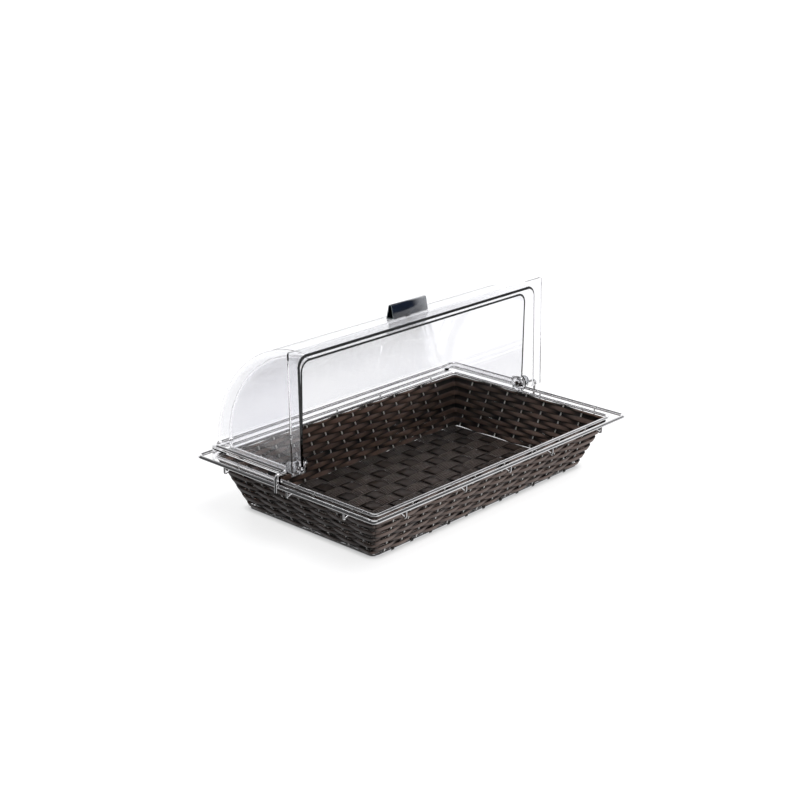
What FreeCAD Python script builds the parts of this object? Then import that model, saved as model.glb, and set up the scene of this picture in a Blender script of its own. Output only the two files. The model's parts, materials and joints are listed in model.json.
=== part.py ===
import FreeCAD, Part
import math
import os
import Sketcher

# Countertop bread display bin: a woven basket on a wire frame, hung in a flange wire, under a clear
# roll-top hood in two nested halves. Millimetres. Origin at the middle of the footprint, on the counter.
# X runs along the basket, Y to the back (the fixed hood's side), Z up.
# The long sides are "front" (-Y) and "back" (+Y), the short ends "near" (-X) and "far" (+X).

SIZES = {
    # flange wire: the outer rectangle that the basket hangs by
    "flange_length": 525.0,
    "flange_depth": 320.0,
    "flange_wire": 5.0,
    "flange_corner": 6.0,
    "flange_height": 75.85,
    # basket frame: rim ring, base ring, and the stakes between them
    "rim_side": 16.5,
    "rim_front": 14.5,
    "rim_wire": 4.0,
    "rim_corner": 8.0,
    "rim_drop": 0.5,
    "taper_side": 30.6,
    "taper_front": 30.1,
    "base_wire": 3.5,
    "base_corner": 8.0,
    "lashing_thick": 0.45,
    "lashing_flat": 0.15,
    "lashing_width": 5.0,
    "lashing_margin": 33.4,
    "stake_wire": 2.0,
    "stake_margin": 17.8,
    "front_slant": 9.0,
    "end_stake_margin": 14.0,
    "end_stake_splay": 0.4,
    "end_shift": 6.0,
    "end_slant": 3.0,
    # wall weave
    "strip_thick": 1.2,
    "strip_gap": 0.4,
    "top_row_share": 0.59,
    "weave_clear": 0.35,
    "weld_gap": 0.15,
    "seat_gap": 0.3,
    # floor weave
    "warp_gap": 8.9,
    "weft_gap": 2.2,
    "weft_margin": 1.25,
    "floor_rise": 1.17,
    "floor_wire": 3.0,
    # hooks between the flange wire and the rim
    "hook_wire": 2.6,
    "hook_drop": 11.6,
    "hook_rise": 5.4,
    "hook_bend": 2.0,
    "hook_margin": 40.0,
    "hook_inner": 91.5,
    "end_hook_margin": 37.5,
    "end_hook_shift": -9.0,
    # hinge line of the hood
    "pivot_back": 5.0,
    "pivot_rise": 20.5,
    "pin_width": 6.0,
    "pin_clear": 0.05,
    "pin_collar": 12.0,
    "disc_width": 22.0,
    "disc_thick": 2.5,
    "cap_width": 15.0,
    "cap_thick": 4.0,
    # hoods
    "hood_wall": 3.0,
    "hood_gap": 7.0,
    "side_gap": 9.0,
    "inner_front": 5.5,
    "inner_round": 16.0,
    "ear_radius": 13.0,
    "hood_overhang": 9.0,
    "hood_inset": 6.0,
    "outer_round": 16.0,
    "lean_angle": 2.0,
    "lobe_radius": 9.5,
    "frame_side": 15.5,
    "frame_lip": 7.5,
    "frame_below": 5.5,
    "frame_toe": 2.9,
    "frame_corner": 2.5,
    # stepped foot of the fixed hood, and the wire that holds it down
    "foot_clear": 1.4,
    "foot_rise": 13.5,
    "foot_drop": 4.8,
    "foot_front": 11.0,
    "carrier_wire": 4.0,
    "carrier_inset": 4.9,
    "carrier_front": 6.0,
    "carrier_bend": 4.5,
    "carrier_drop": 7.0,
    "touch_gap": 0.05,
    "edge_gap": 0.35,
    "close_gap": 0.4,
    # handle on the outer hood
    "handle_length": 70.0,
    "handle_fold": 5.5,
    "handle_base": 13.5,
    "handle_height": 18.0,
    "handle_sheet": 1.4,
    "handle_back": 20.5,
    "screw_width": 4.0,
    "screw_head": 7.5,
    "screw_head_thick": 2.4,
    "nut_width": 8.0,
    "nut_thick": 3.6,
}

STAKES = 14          # upright wires in each long wall
END_STAKES = 7       # upright wires in each short wall
ROWS = 12            # woven rows in a wall
WEFT_BANDS = 10      # bands along the floor
LASHINGS = 11        # ties along each long base wire
FLOOR_WIRES = 4      # wires across under the floor
TIES_PER_WIRE = 3    # ties from one of those wires to the next
CORNER_STEPS = 2     # flats in half of a rounded corner of a strip
OVERRUN = 10.0       # how far a cutting solid runs past what it cuts

# Sizes that follow from others, so that a changed size carries its neighbours along.
FITS = {
    # the rings step in from the flange wire
    "rim_length": "sizes.flange_length - 2 * sizes.rim_side",
    "rim_depth": "sizes.flange_depth - 2 * sizes.rim_front",
    "base_length": "rim_length - 2 * sizes.taper_side",
    "base_depth": "rim_depth - 2 * sizes.taper_front",
    # what repeats along a side fills it
    "stake_pitch": "(base_length - 2 * sizes.stake_margin) / %d" % (STAKES - 1),
    "end_stake_pitch": "(base_depth - 2 * sizes.end_stake_margin) / %d" % (END_STAKES - 1),
    "lashing_pitch": "(base_length - 2 * sizes.lashing_margin) / %d" % (LASHINGS - 1),
    "hook_outer": "rim_length / 2 - sizes.hook_margin",
    "end_hook_pitch": "rim_depth / 2 - sizes.end_hook_margin",
    "weft_pitch": "(base_depth - sizes.base_wire - 2 * sizes.weft_margin + sizes.weft_gap) / %d"
                  % WEFT_BANDS,
    "weft_width": "weft_pitch - sizes.weft_gap",
    "warp_width": "stake_pitch - sizes.warp_gap",
    # the hoods stand over the rim, one inside the other
    "outer_length": "rim_length - 2 * sizes.hood_inset",
    "inner_length": "outer_length - 2 * sizes.hood_wall - 2 * sizes.side_gap",
    "frame_length": "outer_length + 2 * sizes.frame_side",
    "outer_radius": "rim_depth / 2 + sizes.hood_overhang - sizes.pivot_back",
    "inner_radius": "outer_radius - sizes.hood_wall - sizes.hood_gap",
    "frame_radius": "outer_radius + sizes.frame_lip",
    # closed, the front frame stops above the rim wire; open, the rear edge stops above the carrier
    "frame_front": "sizes.pivot_rise + sizes.rim_drop - sizes.rim_wire / 2 - sizes.close_gap",
    "outer_below": "sizes.pivot_rise - sizes.foot_rise - sizes.carrier_wire - sizes.touch_gap"
                   " - sizes.edge_gap",
}

doc = FreeCAD.newDocument("bread_display_bin")
sheet = doc.addObject("Spreadsheet::Sheet", "sizes")
for line, (alias, value) in enumerate(SIZES.items(), start=1):
    sheet.set("A%d" % line, alias)
    sheet.set("B%d" % line, str(value))
    sheet.setAlias("B%d" % line, alias)
doc.recompute()
fits = doc.addObject("App::VarSet", "fits")
for alias, expression in FITS.items():
    fits.addProperty("App::PropertyFloat", alias, "Fits")
    fits.setExpression(alias, expression)
doc.recompute()

V = FreeCAD.Vector
X_AXIS, Y_AXIS, Z_AXIS = V(1, 0, 0), V(0, 1, 0), V(0, 0, 1)
nodes = []


def size(alias):
    """Value of a size: a cell of the sheet, or one that follows from those cells."""
    return float(getattr(fits, alias) if alias in FITS else sheet.get(alias))


def name_of(alias):
    """The same size as it's written in an expression."""
    return ("fits." if alias in FITS else "sizes.") + alias


def keep(obj):
    """Marks an object as a finished piece."""
    nodes.append(obj)
    return obj


def bind(obj, **expressions):
    """Ties properties to the sheet; a double underscore in a key stands for a point."""
    for key, expression in expressions.items():
        obj.setExpression(key.replace("__", "."), expression)
    return obj


def shape_node(label, solids):
    """A piece, or a group of equal pieces, made with Part's own functions."""
    obj = doc.addObject("Part::Feature", label)
    obj.Shape = solids[0] if len(solids) == 1 else Part.makeCompound(solids)
    obj.Placement = FreeCAD.Placement()
    return keep(obj)


# Wire rings.

def attached_sketch(body, name, plane):
    """A sketch on one of the body's own origin planes."""
    sketch = body.newObject("Sketcher::SketchObject", name)
    support = [f for f in body.Origin.OriginFeatures if f.Role == plane][0]
    sketch.AttachmentSupport = [(support, "")]
    sketch.MapMode = "FlatFace"
    return sketch


def wire_ring(label, length, depth, corner, wire, height):
    """A wire bent to a rounded rectangle: a circle swept along the ring's centre line."""
    body = doc.addObject("PartDesign::Body", label)
    path = attached_sketch(body, label + "_path", "XY_Plane")
    half_x, half_y = size(length) / 2, size(depth) / 2
    bend = size(corner)
    cx, cy = half_x - bend, half_y - bend
    corners = [(cx, -cy, -90), (cx, cy, 0), (-cx, cy, 90), (-cx, -cy, 180)]
    ends = [(-cx, -half_y, cx, -half_y), (half_x, -cy, half_x, cy),
            (cx, half_y, -cx, half_y), (-half_x, cy, -half_x, -cy)]
    for x0, y0, x1, y1 in ends:
        path.addGeometry(Part.LineSegment(V(x0, y0, 0), V(x1, y1, 0)))
    for x, y, start in corners:
        circle = Part.Circle(V(x, y, 0), Z_AXIS, bend)
        path.addGeometry(Part.ArcOfCircle(circle, math.radians(start), math.radians(start + 90)))
    for side in range(4):
        path.addConstraint(Sketcher.Constraint("Tangent", side, 2, 4 + side, 1))
        path.addConstraint(Sketcher.Constraint("Tangent", 4 + side, 2, (side + 1) % 4, 1))
    for side in (0, 2):
        path.addConstraint(Sketcher.Constraint("Horizontal", side))
        path.addConstraint(Sketcher.Constraint("Vertical", side + 1))
    for arc in (5, 6, 7):
        path.addConstraint(Sketcher.Constraint("Equal", 4, arc))
    path.addConstraint(Sketcher.Constraint("Symmetric", 4, 3, 6, 3, -1, 1))
    across = path.addConstraint(Sketcher.Constraint("DistanceX", -1, 1, 1, 1, half_x))
    up = path.addConstraint(Sketcher.Constraint("DistanceY", -1, 1, 2, 1, half_y))
    turn = path.addConstraint(Sketcher.Constraint("Radius", 4, bend))
    path.setExpression("Constraints[%d]" % across, name_of(length) + " / 2")
    path.setExpression("Constraints[%d]" % up, name_of(depth) + " / 2")
    path.setExpression("Constraints[%d]" % turn, name_of(corner))
    path.setExpression("AttachmentOffset.Base.z", height)

    section = attached_sketch(body, label + "_section", "YZ_Plane")
    section.addGeometry(Part.Circle(V(0, 0, 0), Z_AXIS, size(wire) / 2))
    thick = section.addConstraint(Sketcher.Constraint("Diameter", 0, size(wire)))
    section.addConstraint(Sketcher.Constraint("Coincident", 0, 3, -1, 1))
    section.setExpression("Constraints[%d]" % thick, name_of(wire))
    section.setExpression("AttachmentOffset.Base.x", "-%s / 2" % name_of(depth))
    section.setExpression("AttachmentOffset.Base.y", height)
    section.setExpression("AttachmentOffset.Base.z",
                          "%s - %s / 2" % (name_of(corner), name_of(length)))
    doc.recompute()

    pipe = body.newObject("PartDesign::AdditivePipe", label + "_pipe")
    pipe.Profile = section
    pipe.Spine = path
    body.Tip = pipe
    body.Placement = FreeCAD.Placement()
    return keep(body)


BASE_RISE = "sizes.base_wire / 2 + sizes.lashing_thick - sizes.lashing_flat"
wire_ring("flange_wire", "flange_length", "flange_depth", "flange_corner", "flange_wire",
          "sizes.flange_height")
wire_ring("rim_wire", "rim_length", "rim_depth", "rim_corner", "rim_wire",
          "sizes.flange_height - sizes.rim_drop")
wire_ring("base_wire", "base_length", "base_depth", "base_corner", "base_wire", BASE_RISE)

flange_z = size("flange_height")
rim_z = flange_z - size("rim_drop")
base_z = size("base_wire") / 2 + size("lashing_thick") - size("lashing_flat")


# Bent wires.

def disc(centre, axis, wire):
    """A wire's round section."""
    return Part.Face(Part.Wire(Part.Circle(centre, axis, wire / 2).toShape()))


def bent_wire(points, bends, wire):
    """A round wire along straight runs joined by tangent arcs; bends has a radius per inner point."""
    pieces = []
    start = points[0]
    for here, after, bend in zip(points[1:-1], points[2:], bends):
        inward = (start - here).normalize()
        outward = (after - here).normalize()
        half = inward.getAngle(outward) / 2
        run = bend / math.tan(half)
        p, q = here + inward * run, here + outward * run
        centre = here + (inward + outward).normalize() * (bend / math.sin(half))
        turn = 180 - math.degrees(2 * half)
        pieces.append(disc(start, p - start, wire).extrude(p - start))
        pieces.append(disc(p, p - start, wire).revolve(centre, outward.cross(inward), turn))
        start = q
    pieces.append(disc(start, points[-1] - start, wire).extrude(points[-1] - start))
    return pieces[0].fuse(pieces[1:]).Solids[0]


# Each side in turn: its direction, its outward normal and the names of its own sizes.
SIDES = {
    "front": (X_AXIS, V(0, -1, 0), "length", "depth"),
    "far": (Y_AXIS, V(1, 0, 0), "depth", "length"),
    "back": (V(-1, 0, 0), Y_AXIS, "length", "depth"),
    "near": (V(0, -1, 0), V(-1, 0, 0), "depth", "length"),
}
STAKE_COUNT = {"front": STAKES, "far": END_STAKES, "back": STAKES, "near": END_STAKES}
# 1 where a side's bottom row passes outside its first stake, 0 where it passes inside
FIRST_OUTSIDE = {"front": 0, "far": 1, "back": 1, "near": 1}


def wall_line(side, z):
    """Half length, distance out and corner radius of a wall's middle surface at height z."""
    _, _, along, across = SIDES[side]
    rise = (z - base_z) / (rim_z - base_z)
    values = []
    for alias, part in ((along, 2), (across, 2), ("corner", 1)):
        low, high = size("base_" + alias), size("rim_" + alias)
        values.append((low + (high - low) * rise) / part)
    return values


# distance of a strip's middle from the wall's middle surface where it passes a stake
lift = size("stake_wire") / 2 + size("weave_clear") + size("strip_thick") / 2


def hook(side, along):
    """Hangs from the flange wire and turns back up, below the fixed hood's skirt, to the wall."""
    direction, normal, _, across = SIDES[side]
    low = flange_z - size("hook_drop")
    high = low + size("hook_rise")
    wall_out = wall_line(side, high + size("hook_wire") / 2)[1]
    reach = wall_out + lift + size("strip_thick") / 2 + size("seat_gap")
    top = direction * along + normal * (size("flange_" + across) / 2)
    start = top + Z_AXIS * (flange_z - size("flange_wire") / 2 - size("weld_gap"))
    end = direction * along + normal * reach + Z_AXIS * high
    return bent_wire([start, top + Z_AXIS * low, end], [size("hook_bend")], size("hook_wire"))


for side in ("front", "back"):
    spots = [-size("hook_outer"), -size("hook_inner"), 0, size("hook_inner"), size("hook_outer")]
    shape_node("hooks_" + side, [hook(side, x) for x in spots])
for side, sign in (("far", 1), ("near", -1)):
    spots = [-size("end_hook_pitch"), size("end_hook_shift"), size("end_hook_pitch")]
    shape_node("hooks_" + side, [hook(side, sign * y) for y in spots])


# Stakes and woven walls.

def stake_places(side, z):
    """Places of a wall's stakes along it, at height z. Weaving has drawn their tops to one side."""
    rise = (z - base_z) / (rim_z - base_z)
    pitch, shift, slant = size("stake_pitch"), 0, 0
    if side == "front":
        slant = size("front_slant")
    if side in ("far", "near"):
        pitch = size("end_stake_pitch") + rise * size("end_stake_splay")
        shift, slant = size("end_shift"), size("end_slant")
    reach = (STAKE_COUNT[side] - 1) / 2
    return [(i - reach) * pitch + shift - slant * rise for i in range(STAKE_COUNT[side])]


def stakes(side):
    """Straight wires in the wall's middle surface, from the base ring to the rim ring."""
    direction, normal, _, _ = SIDES[side]
    ends = []
    for z in (base_z, rim_z):
        out = wall_line(side, z)[1]
        ends.append([direction * u + normal * out + Z_AXIS * z for u in stake_places(side, z)])
    solids = []
    for low, high in zip(*ends):
        axis = (high - low).normalize()
        foot = low + axis * (size("base_wire") / 2 + size("lashing_thick") + size("weld_gap"))
        top = high - axis * (size("rim_wire") / 2 + size("weld_gap"))
        solids.append(Part.makeCylinder(size("stake_wire") / 2, (top - foot).Length, foot, axis))
    return solids


def passes(side, stake, row):
    """1 where a row's strip passes outside a stake, -1 where it passes inside."""
    return 1 if (stake + row + FIRST_OUTSIDE[side]) % 2 else -1


def corner_sides(side, row):
    """How far out, in lifts, the strip is half way round the corners before and after a side.

    It crosses the middle surface there, or stays out or in where both neighbouring stakes have it so.
    """
    order = list(SIDES)
    place = order.index(side)
    before, after = order[place - 1], order[(place + 1) % len(order)]
    starts = passes(before, STAKE_COUNT[before] - 1, row), passes(side, 0, row)
    ends = passes(side, STAKE_COUNT[side] - 1, row), passes(after, 0, row)
    return sum(starts) / 2, sum(ends) / 2


def wall_path(side, z, row):
    """Points and outward normals of one row at height z, from corner to corner, with its weave.

    The strip passes outside and inside the stakes in turn. Half way round each corner the next
    wall's strip takes over.
    """
    direction, normal, _, _ = SIDES[side]
    half, out, bend = wall_line(side, z)
    quarter = math.pi / 4
    first, last = corner_sides(side, row)
    knots = [(-(half - bend) - bend * quarter, lift * first)]
    for i, u in enumerate(stake_places(side, z)):
        knots.append((u, lift * passes(side, i, row)))
    knots.append(((half - bend) + bend * quarter, lift * last))
    stations = [u for u, _ in knots]
    for i in range(CORNER_STEPS):
        turn = bend * quarter * i / CORNER_STEPS
        stations += [-(half - bend) - turn, (half - bend) + turn]
    points = []
    for u in sorted(set(stations)):
        for (u0, w0), (u1, w1) in zip(knots, knots[1:]):
            if u0 <= u <= u1:
                shift = w0 + (w1 - w0) * (u - u0) / (u1 - u0)
        straight = max(-(half - bend), min(half - bend, u))
        angle = (u - straight) / bend
        face = direction * math.sin(angle) + normal * math.cos(angle)
        centre = direction * straight + normal * (out - bend) + Z_AXIS * z
        points.append((centre + face * (bend + shift), face))
    return points


def strip(side, low, high, row):
    """One flat strip of a row: a ruled loft through a section at each stake."""
    half = size("strip_thick") / 2
    sections = []
    pairs = zip(wall_path(side, low, row), wall_path(side, high, row))
    for (foot, face), (top, _) in pairs:
        corners = [foot - face * half, foot + face * half, top + face * half, top - face * half]
        sections.append(Part.makePolygon(corners + corners[:1]))
    return Part.makeLoft(sections, True, True)


row_low = base_z + size("base_wire") / 2 + size("seat_gap")
row_top = rim_z - size("rim_wire") / 2 - size("seat_gap")
row_pitch = (row_top - row_low) / (ROWS - 1 + size("top_row_share"))
for side in SIDES:
    shape_node("stakes_" + side, stakes(side))
    rows = []
    for row in range(ROWS):
        low = row_low + row * row_pitch + size("strip_gap") / 2
        high = min(low + row_pitch, row_top + size("strip_gap") / 2) - size("strip_gap")
        rows.append(strip(side, low, high, row))
    shape_node("strips_" + side, rows)


# Floor.

def band(stations, width, direction, across, centre):
    """A flat band along direction: a ruled loft through (place, height) stations."""
    half, thick = width / 2, size("strip_thick") / 2
    sections = []
    for place, rise in stations:
        middle = centre + direction * place + Z_AXIS * rise
        corners = [middle + across * i + Z_AXIS * k
                   for i, k in ((-half, -thick), (half, -thick), (half, thick), (-half, thick))]
        sections.append(Part.makePolygon(corners + corners[:1]))
    return Part.makeLoft(sections, True, True)


rise = size("floor_rise")
floor_z = base_z + size("base_wire") / 2 + size("touch_gap") + rise + size("strip_thick") / 2
columns = stake_places("front", base_z)
weft_reach = (WEFT_BANDS - 1) / 2
wefts = [(g - weft_reach) * size("weft_pitch") for g in range(WEFT_BANDS)]

warp = []
for c, x in enumerate(columns):
    stations = []
    for g, y in enumerate(wefts):
        level = rise if (c + g) % 2 else -rise
        stations += [(y - size("weft_width") / 2, level), (y + size("weft_width") / 2, level)]
    warp.append(band(stations, size("warp_width"), Y_AXIS, X_AXIS, V(x, 0, floor_z)))
shape_node("floor_warp", warp)

weft = []
for g, y in enumerate(wefts):
    stations = [(x, -rise if (c + g) % 2 else rise) for c, x in enumerate(columns)]
    reach = size("warp_width") / 2
    stations.insert(0, (columns[0] - reach, stations[0][1]))
    stations.append((columns[-1] + reach, stations[-1][1]))
    weft.append(band(stations, size("weft_width"), X_AXIS, V(0, -1, 0), V(0, y, floor_z)))
shape_node("floor_weft", weft)

wires = []
wire_reach = (FLOOR_WIRES - 1) / 2
wire_length = size("base_depth") - size("base_wire") - 2 * size("weld_gap")
wire_step = TIES_PER_WIRE * size("lashing_pitch")
for i in range(FLOOR_WIRES):
    foot = V((i - wire_reach) * wire_step, -wire_length / 2, base_z)
    wires.append(Part.makeCylinder(size("floor_wire") / 2, wire_length, foot, Y_AXIS))
shape_node("floor_frame", wires)


def lashing(x, y):
    """A flat tie wrapped once round the base wire, pressed flat where the basket stands on it."""
    width, inner = size("lashing_width"), size("base_wire") / 2
    start = V(x - width / 2, y, base_z)
    outer = Part.makeCylinder(inner + size("lashing_thick"), width, start, X_AXIS)
    hole = Part.makeCylinder(inner, width, start, X_AXIS)
    below = Part.makeBox(width, size("base_wire") * 2, OVERRUN,
                         V(x - width / 2, y - size("base_wire"), -OVERRUN))
    return outer.cut(hole).cut(below)


for side, sign in (("front", -1), ("back", 1)):
    first = -(LASHINGS - 1) / 2
    ties = [lashing((first + i) * size("lashing_pitch"), sign * size("base_depth") / 2)
            for i in range(LASHINGS)]
    shape_node("lashings_" + side, ties)


# Hoods.

def cylinder(name, radius, length, start=None):
    """A round solid along X, centred on the hinge line unless its start is given."""
    obj = doc.addObject("Part::Cylinder", name)
    bind(obj, Radius=radius, Height=length)
    obj.Placement = FreeCAD.Placement(V(0, 0, 0), FreeCAD.Rotation(Y_AXIS, 90))
    obj.setExpression("Placement.Base.x", start or "-(%s) / 2" % length)
    return obj


def block(name, x, y, z, lean=False):
    """A box between (low, high) expressions on each axis; lean turns it back about the hinge line."""
    obj = doc.addObject("Part::Box", name)
    bind(obj, Length="%s - (%s)" % (x[1], x[0]), Width="%s - (%s)" % (y[1], y[0]),
         Height="%s - (%s)" % (z[1], z[0]))
    corner = "vector(%s; %s; %s)" % (x[0], y[0], z[0])
    if lean:
        turn = "create(<<rotation>>; vector(1; 0; 0); -sizes.lean_angle)"
        obj.setExpression("Placement", "create(<<placement>>; %s * %s; %s)" % (turn, corner, turn))
    else:
        obj.setExpression("Placement.Base", corner)
    return obj


def combine(kind, name, parts):
    """MultiFuse or MultiCommon of the parts, or a Cut of the second from the first."""
    obj = doc.addObject("Part::" + kind, name)
    if kind == "Cut":
        obj.Base, obj.Tool = parts
    else:
        obj.Shapes = parts
    return obj


def rounded(name, base, radius, wanted):
    """Fillets those edges of base that wanted() picks."""
    doc.recompute()
    obj = doc.addObject("Part::Fillet", name)
    obj.Base = base
    picked = [i for i, edge in enumerate(base.Shape.Edges, start=1) if wanted(edge)]
    obj.Edges = [(i, radius, radius) for i in picked]
    return obj


def end_circle(radius):
    """Picks the two circles where a round solid meets its ends."""
    return lambda edge: hasattr(edge.Curve, "Radius") and abs(edge.Curve.Radius - radius) < 1e-6


hinge = V(0, size("pivot_back"), flange_z + size("pivot_rise"))
hinge_place = FreeCAD.Placement(hinge, FreeCAD.Rotation())
wall = size("hood_wall")


def at_hinge(obj):
    """Moves a piece that was made round the hinge line to its place."""
    bind(obj, Placement__Base__y="sizes.pivot_back",
         Placement__Base__z="sizes.flange_height + sizes.pivot_rise")
    return obj


def barrel(name, radius, length, corner):
    """A cylinder about the hinge line with rounded ends, the form both hoods are sectors of."""
    core = cylinder(name + "_core", radius[0], length)
    return rounded(name, core, corner, end_circle(radius[1]))


outer_r, inner_r = size("outer_radius"), size("inner_radius")
OUT_HALF, IN_HALF = "fits.outer_length / 2", "fits.inner_length / 2"

# outer, moving hood, drawn open: a sector between the leaning front frame and a level rear edge
outer_skin = barrel("outer_skin", ("fits.outer_radius", outer_r), "fits.outer_length",
                    size("outer_round"))
outer_void = barrel("outer_void", ("fits.outer_radius - sizes.hood_wall", outer_r - wall),
                    "fits.outer_length - 2 * sizes.hood_wall", size("outer_round") - wall)
above_edge = block("above_edge", ("-" + OUT_HALF, OUT_HALF),
                   ("-fits.outer_radius", "fits.outer_radius"),
                   ("-fits.outer_below", "fits.outer_radius"))
behind_frame = block("behind_frame", ("-" + OUT_HALF, OUT_HALF),
                     ("-fits.frame_front", "fits.outer_radius * 2"),
                     ("-fits.outer_radius", "fits.outer_radius * 2"), lean=True)
outer_sector = combine("MultiCommon", "outer_sector", [outer_skin, above_edge, behind_frame])
frame_plate = block("frame_plate", ("-fits.frame_length / 2", "fits.frame_length / 2"),
                    ("-fits.frame_front", "sizes.hood_wall - fits.frame_front"),
                    ("-sizes.frame_below", "fits.frame_radius"), lean=True)


def toe_edge(edge):
    """Picks the plate's long edge at the bottom of its front face."""
    long_edge = abs(edge.Length - size("frame_length")) < 1e-6
    middle = edge.CenterOfMass
    return long_edge and middle.z < 0 and middle.y < -size("frame_front") + wall / 2


def top_corner(edge):
    """Picks the plate's two short edges at the top, which run through its thickness."""
    return abs(edge.Length - wall) < 1e-6 and edge.CenterOfMass.z > 0


frame_foot = rounded("frame_foot", frame_plate, size("frame_toe"), toe_edge)
frame = rounded("frame", frame_foot, size("frame_corner"), top_corner)
lobes = []
for side, start in (("near", "-" + OUT_HALF), ("far", OUT_HALF + " - sizes.hood_wall")):
    lobes.append(cylinder("lobe_" + side, "sizes.lobe_radius", "sizes.hood_wall", start))
outer_block = combine("MultiFuse", "outer_block", [outer_sector, frame] + lobes)
outer_shell = combine("Cut", "outer_shell", [outer_block, outer_void])
outer_bore = cylinder("outer_bore", "sizes.pin_width / 2 + sizes.pin_clear", "fits.frame_length")
screw_bore = doc.addObject("Part::Cylinder", "screw_bore")
bind(screw_bore, Radius="sizes.screw_width / 2 + sizes.pin_clear", Height="fits.outer_radius * 2",
     Placement__Base__y="sizes.handle_back")
outer_bores = combine("MultiFuse", "outer_bores", [outer_bore, screw_bore])
moving_hood = keep(at_hinge(combine("Cut", "moving_hood", [outer_shell, outer_bores])))

# inner, fixed hood: a sector of the smaller barrel, with ears round the pins and a stepped foot
inner_skin = barrel("inner_skin", ("fits.inner_radius", inner_r), "fits.inner_length",
                    size("inner_round"))
inner_void = barrel("inner_void", ("fits.inner_radius - sizes.hood_wall", inner_r - wall),
                    "fits.inner_length - 2 * sizes.hood_wall", size("inner_round") - wall)
LEDGE_TOP = "(sizes.foot_rise - sizes.pivot_rise)"
LEDGE_LOW = "(sizes.foot_rise - sizes.pivot_rise - sizes.hood_wall)"
SKIRT_LOW = "(-sizes.foot_drop - sizes.pivot_rise)"
behind_front = block("behind_front", ("-" + IN_HALF, IN_HALF),
                     ("-sizes.inner_front", "fits.inner_radius"), (LEDGE_LOW, "fits.inner_radius"))
inner_sector = combine("MultiCommon", "inner_sector", [inner_skin, behind_front])
FOOT_X = "(fits.rim_length / 2 + sizes.rim_wire / 2 + sizes.foot_clear%s)"
FOOT_Y = "(fits.rim_depth / 2 + sizes.rim_wire / 2 + sizes.foot_clear%s - sizes.pivot_back)"
WALL = " + sizes.hood_wall"
foot_box = block("foot_box", ("-" + FOOT_X % WALL, FOOT_X % WALL), ("sizes.foot_front", FOOT_Y % WALL),
                 (SKIRT_LOW, LEDGE_TOP))
foot_inside = block("foot_inside", ("-" + FOOT_X % "", FOOT_X % ""),
                    ("sizes.foot_front - sizes.hood_wall", FOOT_Y % ""),
                    (SKIRT_LOW + WALL.replace("+", "-"), LEDGE_LOW))


def back_upright(box):
    """Picks the two upright edges at the back of a box."""
    def wanted(edge):
        box_edge = edge.BoundBox
        upright = box_edge.ZLength > box_edge.XLength + box_edge.YLength
        return upright and box_edge.YMin > box.Shape.BoundBox.Center.y
    return wanted


doc.recompute()
foot_corner = size("rim_corner") + size("rim_wire") / 2 + size("foot_clear")
foot_block = rounded("foot_block", foot_box, foot_corner + wall, back_upright(foot_box))
foot_hollow = rounded("foot_hollow", foot_inside, foot_corner, back_upright(foot_inside))
foot = combine("Cut", "foot", [foot_block, foot_hollow])
ears = []
for side, start in (("near", "-" + IN_HALF), ("far", IN_HALF + " - sizes.hood_wall")):
    ears.append(cylinder("ear_" + side, "sizes.ear_radius", "sizes.hood_wall", start))
inner_block = combine("MultiFuse", "inner_block", [inner_sector, foot] + ears)
inner_shell = combine("Cut", "inner_shell", [inner_block, inner_void])
inner_bore = cylinder("inner_bore", "sizes.pin_width / 2 + sizes.pin_clear", "fits.inner_length")
fixed_hood = keep(at_hinge(combine("Cut", "fixed_hood", [inner_shell, inner_bore])))

# wire over the fixed hood's foot; its ends turn out and down outside the flange wire
wire = size("carrier_wire")
skirt_x = size("rim_length") / 2 + size("rim_wire") / 2 + size("foot_clear") + wall
skirt_y = size("rim_depth") / 2 + size("rim_wire") / 2 + size("foot_clear") + wall
run_x, run_y = skirt_x - size("carrier_inset"), skirt_y - size("carrier_inset")
run_z = flange_z + size("foot_rise") + wire / 2 + size("touch_gap")
leg_x = size("flange_length") / 2 + size("flange_wire") / 2 + wire / 2 + size("touch_gap")
front_y = size("carrier_front")
leg_z = flange_z - size("carrier_drop")
half_path = [V(leg_x, front_y, leg_z), V(leg_x, front_y, run_z), V(run_x, front_y, run_z),
             V(run_x, run_y, run_z)]
path = half_path + [V(-p.x, p.y, p.z) for p in reversed(half_path)]
bend, sweep = size("carrier_bend"), foot_corner + wall - size("carrier_inset")
shape_node("hood_carrier", [bent_wire(path, [bend, bend, sweep, sweep, bend, bend], wire)])


# Pivots.

def pivot_group(label, make):
    """The near and far copies of one pivot piece, as a group about the hinge line."""
    group = doc.addObject("Part::Compound", label)
    group.Links = [make("near", "-1"), make("far", "1")]
    return keep(at_hinge(group))


def span(sign, low, high):
    """Start and length, along X, of a piece between two distances from the middle."""
    start = "%s * (%s)" % (sign, high if sign == "-1" else low)
    return start, "(%s) - (%s)" % (high, low)


INNER_FACE = IN_HALF + " - sizes.hood_wall"
CAP_START = OUT_HALF + " + sizes.seat_gap"


def pivot_pin(side, sign):
    """Shaft through both hoods with a collar that keeps them apart."""
    start, length = span(sign, INNER_FACE + " - sizes.disc_thick",
                         CAP_START + " + sizes.cap_thick / 2")
    shaft = cylinder("shaft_" + side, "sizes.pin_width / 2", length, start)
    start, length = span(sign, IN_HALF + " + sizes.touch_gap",
                         OUT_HALF + " - sizes.hood_wall - sizes.seat_gap")
    collar = cylinder("collar_" + side, "sizes.pin_collar / 2", length, start)
    return combine("MultiFuse", "pin_" + side, [shaft, collar])


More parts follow.
